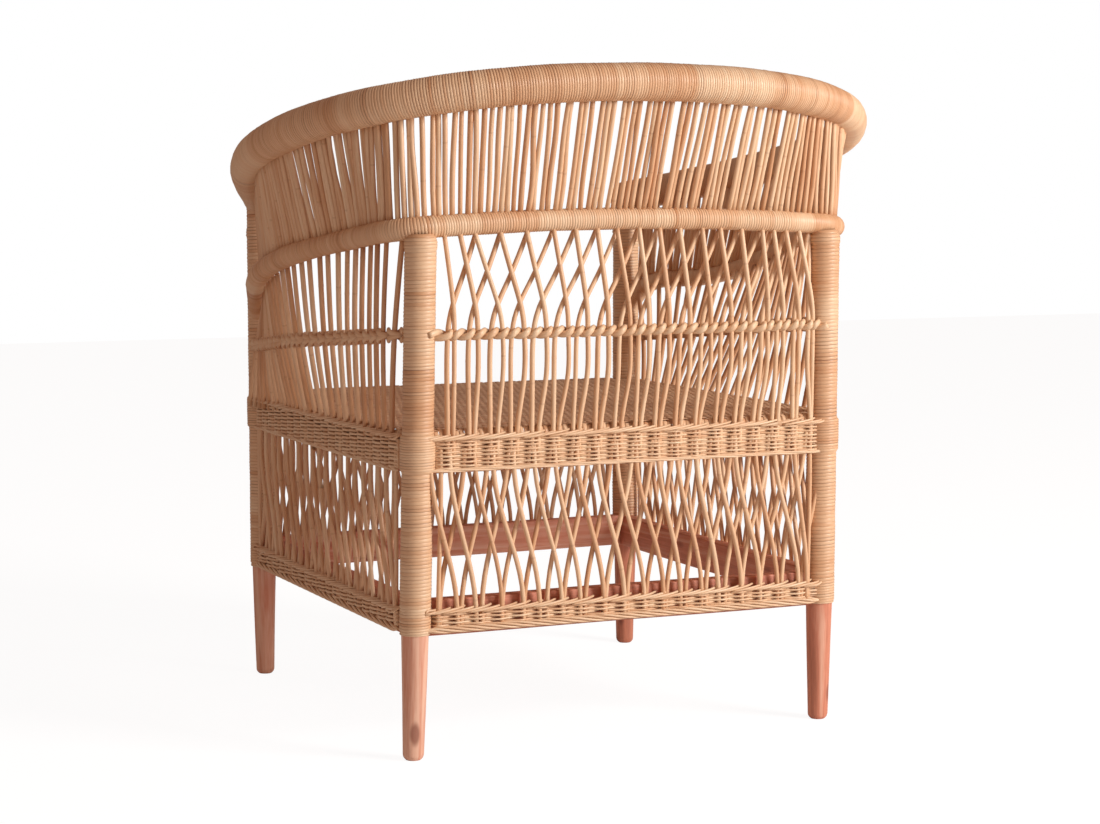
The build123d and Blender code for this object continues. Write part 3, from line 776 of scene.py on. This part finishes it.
MID_R = 0.013
MID_CROWN = 0.622  # middle of the back
MID_POST_Z = 0.6145
MID_TURN_R = 0.049
MID_TURN_OUT = 0.0258
MID_TURNED_Z = 0.6066
MID_ARM = ((0.037, 0.1219, 0.5965), (0.0705, 0.0119, 0.575), (0.071, -0.0981, 0.548),
           (0.044, -0.1981, 0.531), (0.017, -0.2821, 0.5165), (0.0075, -0.3036, 0.496))
MID_END = (POST_X + 0.003, FRONT_Y + 0.003, 0.475)
ROLL_R = 0.022
ROLL_HALF = ((0.0, 0.3139, 0.7785), (0.223, 0.2804, 0.7655), (0.289, 0.2399, 0.754),
             (0.344, 0.1749, 0.738), (0.3745, 0.0909, 0.718), (0.377, 0.0014, 0.6985),
             (0.328, -0.1721, 0.665), (POST_X, FRONT_Y, 0.641))


def unit(vector):
    return np.asarray(vector) / np.linalg.norm(vector)


def bend(start, way, finish, count):
    """Round bend from a point and direction to another point."""
    chord = finish - start
    half = math.acos(np.dot(way, unit(chord)))
    radius = np.linalg.norm(chord) / (2 * math.sin(half))
    inward = unit(chord - np.dot(chord, way) * way)
    angle = np.linspace(0, 2 * half, count)[:, None]
    line = start + radius * (np.sin(angle) * way + (1 - np.cos(angle)) * inward)
    return line, math.cos(2 * half) * way + math.sin(2 * half) * inward


def middle_rail_half():
    """From the middle of the back over the left back post and down to the left front post."""
    y = BACK_Y + LEAN * MID_POST_Z
    turn_x = POST_X + MID_TURN_OUT - MID_TURN_R
    x = np.linspace(0, turn_x, 60)
    crown = MID_CROWN - (MID_CROWN - MID_POST_Z) * (x / turn_x) ** 2
    arch = np.stack([x, np.full(60, y), crown], 1)
    start = arch[-1]
    finish = np.array([turn_x + MID_TURN_R, y - MID_TURN_R, MID_TURNED_Z])
    corner, way = bend(start, unit(arch[-1] - arch[-2]), finish, 30)
    arm = [(POST_X + out, ay, az) for out, ay, az in MID_ARM]
    down = through([finish, *arm, MID_END], 180, way, (0.0, -0.1, -1.0))
    return np.vstack([arch[:-1], corner[:-1], down])


def both_ways(half):
    """Whole horseshoe from its left half, from the right front post to the left one."""
    return np.vstack([(half * (-1, 1, 1))[::-1], half[1:]])


def at_share(half, share):
    """Place at a share of the half line's length, counted from the middle of the back."""
    measured = lengths(half)
    return read_line(half, measured, share * measured[-1])


MID_HALF = middle_rail_half()
roll_end = unit(np.subtract(ROLL_HALF[-1], ROLL_HALF[-2]))
TOP_HALF = through(ROLL_HALF, 260, (1.0, 0.0, 0.0), roll_end)

# ---- Canes of the backrest ----
# The same pairs go on above the seat band, stand upright to the twined waist rail and then
# lean across each other up to the middle rail, the outer layer one way, the inner the other.

WAIST_BACK_Z = 0.492
STAND_Z = 0.445  # up to here the canes stand upright
CROSS_Z = 0.552
PAIR = np.arange(BACK_PAIRS[2])  # counted from the chair's left post
OUTER_WAIST = np.interp(PAIR, (0, 3, 15, 18), (0.224, 0.137, -0.182, -0.246))
OUTER_HEAD = np.interp(np.arange(21), (0, 2, 5, 15, 20), (0.237, 0.199, 0.100, -0.173, -0.258))
INNER_WAIST = np.interp(PAIR, (0, 2, 15, 18), (0.236, 0.1815, -0.1705, -0.2375))
INNER_HEAD = OUTER_HEAD[PAIR + 2] - 0.0035  # behind the head of the next pair but one
back_stakes = []
inside = POST_X - SPLAY - INWARD * 0.55 - WRAP_R - CANE_R * 0.7
for layer, hand in (("outer", -1), ("inner", 1)):
    rng = random.Random("back " + layer)
    bundle = Bundle()
    waists, heads = (OUTER_WAIST, OUTER_HEAD) if hand < 0 else (INNER_WAIST, INNER_HEAD)
    for middle, waist, top in zip(pair_middles("back")[::-1], waists, heads):
        foot, waist, top = (float(np.clip(x + rng.gauss(0, 0.0009), -inside, inside))
                            for x in (middle - 0.0035 + hand * 0.0036, waist, top))
        begun, halfway = (0.065, 0.46) if hand > 0 else (0.08, 0.49)
        layer_out = -0.0030 * hand
        rail_z = MID_CROWN - (MID_CROWN - MID_POST_Z) * (top / POST_X) ** 2 - MID_R + 0.003
        at_rail = waist + (top - waist) * 0.02
        begun, halfway = waist + (top - waist) * begun, waist + (top - waist) * halfway
        places = [on_side("back", *place) for place in (
            (foot, STAKE_OFFSET, 0.352),
            (foot + (waist - foot) * 0.12, STAKE_OFFSET, SEAT_BAND[1] + 0.006),
            (waist, STAKE_OFFSET, STAND_Z),
            (at_rail, STAKE_OFFSET, WAIST_BACK_Z),
            (begun, STAKE_OFFSET + layer_out * 0.4, WAIST_BACK_Z + 0.014),
            (halfway, STAKE_OFFSET * 0.7 + layer_out * 1.15, CROSS_Z),
            (top, layer_out * 1.4, rail_z))]
        radius, tone = CANE_R * rng.uniform(0.87, 1.0), rng.uniform(0.05, 0.42)
        cane(bundle, through(places, 140), radius, tone, rng, step=0.008)
        back_stakes.append(at_rail)
    bundle.piece(f"back_canes_{layer}", round_cane, "round_cane", f"back_canes_{layer}")

# ---- Arm spokes ----
# Single canes that fan from the seat band up through the waist rail to the arm, set closer
# together towards the front.

ARM_SPOKES = 28
ARM_HEADS = (0.318, 0.935)  # shares of the middle rail, first and last spoke
ARM_FEET = ((0, 13, 27), (0.210, -0.073, -0.300))  # spoke and its place along Y
WAIST_FRONT_Z = 0.446
arm_spoke_lines = []
rng = random.Random("arm spokes")
for index in range(ARM_SPOKES):
    share = np.interp(index, (0, ARM_SPOKES - 1), ARM_HEADS) + rng.gauss(0, 0.0015)
    inward = np.interp(share, (0.45, 0.65, 0.93), (0.0, 0.010, 0.014))
    head = at_share(MID_HALF, share) - (inward, 0, 0)
    foot_y = np.interp(index, *ARM_FEET) + rng.gauss(0, 0.001)
    out = STAKE_OFFSET + np.interp(index, (20, ARM_SPOKES - 1), (0.0, 0.010))
    foot = on_side("left", foot_y, out, SEAT_BAND[1] - 0.012)
    head += unit(foot - head) * (MID_R - 0.004)
    middle = (foot + head) / 2 + (0.0035, rng.gauss(0, 0.0012), 0)
    arm_spoke_lines.append(through([foot, middle, head], 50))
for hand, mirror in (("left", 1), ("right", -1)):
    bundle = Bundle()
    for line in arm_spoke_lines:
        radius, tone = CANE_R * rng.uniform(0.92, 1.1), rng.uniform(0.15, 0.75)
        cane(bundle, line * (mirror, 1, 1), radius, tone, rng)
    bundle.piece(f"arm_spokes_{hand}", round_cane, "round_cane", f"{hand}_arm_spokes")

# ---- Waist rails ----
# Round the back, one pair of thick rods twined about every stake, each rising as it passes.
# Along the arms, two rows of thinner pairs turned opposite ways, so that they read as a plait.

ROD_R = 0.0034
ROD_RISE = 0.0034
TWINE_R = 0.0027
TWINE_RISE = 0.0031
TWINE_OUT = 0.0056  # how far both go before and behind the stakes
ROW_APART = 0.0033


def twined(bundle, stakes, outward, rows, radius, rise, tone, shadow, rng):
    """Rows of pairing: two strands that change places before and behind at each stake.

    rows holds each row's height in steps of ROW_APART and the way its strands rise. shadow is
    the darkness of the painted shade where a strand goes in behind the other.
    """
    knots = np.arange(len(stakes))
    at = np.linspace(0, knots[-1], knots[-1] * 8 + 1)
    middle = read_line(np.asarray(stakes), knots, at)
    for row, twist in rows:
        uneven = np.interp(at, knots, [rng.gauss(0, 0.0004) for _ in knots])
        for strand in (0, 1):
            turn = math.pi * (at + strand)
            spine = middle + (TWINE_OUT * np.cos(turn))[:, None] * np.asarray(outward)
            spine[:, 2] += row * ROW_APART + twist * rise * np.sin(turn) + uneven
            shade = np.clip(tone + np.interp(at, knots, [rng.gauss(0, 0.1) for _ in knots]), 0, 1)
            # painted shade on a strand where it goes in behind the other
            shade_behind = shadow * np.exp(-((np.cos(turn) + 0.25) / 0.42) ** 2)
            section = ring(radius * (1 + 0.1 * np.cos(turn)), 8, 1.12, 0.8)
            sweep(bundle, spine, section, np.repeat(shade, 8), rng, seam=np.repeat(shade_behind, 8))


ends = [POST_X - 0.012] + sorted(back_stakes, reverse=True) + [-POST_X + 0.012]
bundle = Bundle()
back_places = [on_side("back", x, STAKE_OFFSET, WAIST_BACK_Z) for x in ends]
twined(bundle, back_places, (0, 1, 0), ((0, 1),), ROD_R, ROD_RISE, 0.08, 0.55,
       random.Random("waist"))
bundle.piece("waist_rail_back", woven_cane, "woven_cane", "back_waist_rail")

waist_places = [np.array([POST_X + 0.004, BACK_Y + LEAN * WAIST_BACK_Z - 0.006, WAIST_BACK_Z])]
for index, line in enumerate(arm_spoke_lines):
    z = WAIST_BACK_Z + (WAIST_FRONT_Z - WAIST_BACK_Z) * (index + 0.5) / ARM_SPOKES
    waist_places.append(read_line(line, line[:, 2], z))
waist_places.append(np.array([POST_X + 0.012, FRONT_Y + 0.006, WAIST_FRONT_Z]))
for hand, mirror in (("left", 1), ("right", -1)):
    bundle = Bundle()
    places = np.array(waist_places) * (mirror, 1, 1)
    twined(bundle, places, (mirror, 0, 0), ((1, 1), (-1, -1)), TWINE_R, TWINE_RISE, 0.3, 0.8,
           random.Random("waist " + hand))
    bundle.piece(f"waist_rail_{hand}", woven_cane, "woven_cane", f"{hand}_waist_rail")

# ---- Middle rail ----
# A bundle of canes wrapped with split cane, turn beside turn, over the back posts' heads and
# down both arms. Its ends are let into the winding of the front posts.

RAIL_TURN = 0.0032
HEAD_COILS = ((0.0158, 0.0078), (0.0125, 0.0052), (0.0092, 0.0032), (0.0059, 0.0020),
              (0.0026, 0.0013))  # radius of each closing turn and its depth from the tip
COIL_R = 0.0019
HEAD_PLUG = np.array(((0.012, 0.0150), (0.006, 0.0125), (0.003, 0.0085), (0.0015, 0.003)))


def wound_rail(name, line, radius, pitch, steps, tones, node, calm, round_ends=False):
    """Rail with its winding; calm holds shares of its length, from the right arm's end."""
    whole = lengths(line)[-1]

    def core(at):
        from_end = np.clip(np.minimum(at, whole - at) / radius, 0.02, 1)
        dome = np.sqrt(1 - (1 - from_end) ** 2) if round_ends else 1.0
        return dome * (radius - STRIP_CROWN + 0.0002 * np.sin(at * 55))

    bundle = Bundle()
    rng = random.Random(name)
    winding(bundle, line, core, lambda at: pitch, rng, (0.0, 0.0, 1.0), steps, tones,
            [(whole * first, whole * last) for first, last in calm])
    for tip, before in ((line[0], line[1]), (line[-1], line[-2])) if round_ends else ():
        way = unit(tip - before)
        rise, side = across(np.array([before, tip]), (0.0, 0.0, 1.0))
        for coil, deep in HEAD_COILS:
            tone = rng.uniform(0.05, 0.4)
            hoop(bundle, tip - way * deep, rise[0], side[0], coil, COIL_R, 33, tone, rng, way)
        deep, plug_r = HEAD_PLUG.T
        sweep(bundle, tip - way * deep[:, None], ring(plug_r, 20), 0.5, rng)
    bundle.piece(name, wrapping_cane, "wrapping_cane", node)


wound_rail("middle_rail_wound", both_ways(MID_HALF), MID_R, RAIL_TURN, 20, (0.06, 0.62),
           "middle_rail", ((-0.1, 0.05), (0.335, 0.385), (0.90, 1.1)))

# ---- Upper spokes ----
# Close-set canes between the middle rail and the top roll, in touching groups of two or three,
# each with its own lean, so that light comes through in uneven slits.

UPPER_WALLS = {"back": (-0.33, 0.33, 0.0083), "left": (0.33, 0.945, 0.0068),
               "right": (-0.945, -0.33, 0.0068)}  # shares of the middle rail, and a pitch
ROLL_ABOVE = ((0.0, 0.33, 0.475, 0.945), (0.0, 0.34, 0.453, 0.955))  # shares of both rails
UPPER_TONES = (0.12, 0.2, 0.3, 0.4, 0.55)
for name, (first, last, pitch) in UPPER_WALLS.items():
    rng = random.Random("upper " + name)
    count = round((last - first) * lengths(MID_HALF)[-1] / pitch)
    bundle = Bundle()
    for index in range(count):
        share = first + (last - first) * (index + 0.5 + rng.gauss(0, 0.16)) / count
        mirror = 1 if share >= 0 else -1
        lean = rng.gauss(0, 0.0022)
        foot = at_share(MID_HALF, abs(share)) * (mirror, 1, 1)
        head = at_share(TOP_HALF, np.interp(abs(share), *ROLL_ABOVE) + lean) * (mirror, 1, 1)
        inward = (mirror * np.interp(abs(share), (0.62, 0.72), (0.0, 0.009)), 0, 0)
        foot, head = foot - inward, head - inward
        way = unit(head - foot)
        foot, head = foot + way * (MID_R - 0.003), head - way * (ROLL_R - 0.004)
        line = wander(through([foot, (foot + head) / 2, head], 30), rng, 0.0008)
        tone = rng.choice(UPPER_TONES) + rng.gauss(0, 0.05)
        cane(bundle, line, rng.uniform(0.0027, 0.0034), float(np.clip(tone, 0, 1)), rng)
    bundle.piece(f"upper_spokes_{name}", round_cane, "round_cane", f"{name}_upper_spokes")

# ---- Top roll ----
# The thickest bundle, wrapped like the rail below it. It starts and ends on top of the front
# posts in a rounded head of coiled cane, and takes the heads of all the spokes in its underside.

ROLL_TURN = 0.0031
end_way = unit(TOP_HALF[-1] - TOP_HALF[-2])
head_stretch = TOP_HALF[-1] + np.linspace(0, ROLL_R, 12)[1:, None] * end_way
roll_line = both_ways(np.vstack([TOP_HALF, head_stretch]))
wound_rail("top_roll_wound", roll_line, ROLL_R, ROLL_TURN, 22, (0.05, 0.62), "top_roll",
           ((0.27, 0.32),), round_ends=True)

# ---- Floor, light and camera ----
# A pale studio floor that goes over into a white surround, one large soft lamp behind the
# camera's right shoulder, a weak one on its left, and an even, slightly reddish sky.

FLOOR = 7.0  # from the middle to each edge
WHITE = (1.0, 1.0, 1.0, 1.0)
SKY = (1.0, 0.73, 0.62, 1.0)
mesh = bpy.data.meshes.new("floor")
mesh.from_pydata([(-FLOOR, -FLOOR, 0), (FLOOR, -FLOOR, 0), (FLOOR, FLOOR, 0), (-FLOOR, FLOOR, 0)],
                 [], [(0, 1, 2, 3)])
floor = new_object("floor", mesh)
paint = Finish(bpy.data.materials.new("floor_paint"))
seen = paint.node("ShaderNodeLightPath")  # 1 for what the camera sees
matt = paint.node("ShaderNodeBsdfPrincipled", {
    "Base Color": (0.86, 0.86, 0.86, 1), "Roughness": 0.9})
glow = paint.node("ShaderNodeEmission", {"Color": WHITE, "Strength": 1.15})
blend = paint.node("ShaderNodeMixShader", {0: seen * 0.8, 1: matt, 2: glow})
paint.node("ShaderNodeOutputMaterial", {"Surface": blend})
mesh.materials.append(paint.owner)

surround = Finish(bpy.data.worlds.new("surround"))
seen = surround.node("ShaderNodeLightPath")
sky = surround.node("ShaderNodeBackground", {"Color": SKY, "Strength": 0.30})
white = surround.node("ShaderNodeBackground", {"Color": WHITE})
blend = surround.node("ShaderNodeMixShader", {0: seen, 1: sky, 2: white})
surround.node("ShaderNodeOutputWorld", {"Surface": blend})
bpy.context.scene.world = surround.owner


def facing(place, way):
    """Matrix of a lamp or camera at a place that looks along a direction."""
    way = unit(way)
    side = unit(np.cross(way, (0, 0, 1)))
    matrix = np.eye(4)
    matrix[:3] = np.stack([side, np.cross(side, way), -way, place], axis=1)
    return Matrix(matrix.tolist())


def soft_lamp(name, place, aim_z, size, power, colour):
    """Square lamp that faces a point above the middle of the floor."""
    light = bpy.data.lights.new(name, "AREA")
    light.size, light.energy, light.color = size, power, colour
    new_object(name, light).matrix_world = facing(place, np.subtract((0, 0, aim_z), place))


soft_lamp("key_lamp", (-2.35, 2.9, 1.7), 0.45, 1.3, 138.0, (1.0, 0.98, 0.96))
soft_lamp("fill_lamp", (3.0, 0.9, 1.6), 0.4, 2.2, 2.5, (1.0, 0.86, 0.78))

CAMERA_PLACE = (1.28266, 2.87651, 0.67441)
CAMERA_WAY = (-0.408356, -0.907805, -0.095575)
IMAGE_WIDE = 1100
FOCAL_PIXELS = 2485.1
view = bpy.data.cameras.new("camera")
view.sensor_width = 36.0
view.lens = FOCAL_PIXELS / IMAGE_WIDE * view.sensor_width
camera = new_object("camera", view)
camera.matrix_world = facing(CAMERA_PLACE, CAMERA_WAY)
bpy.context.scene.camera = camera
bpy.context.scene.view_settings.view_transform = "Standard"
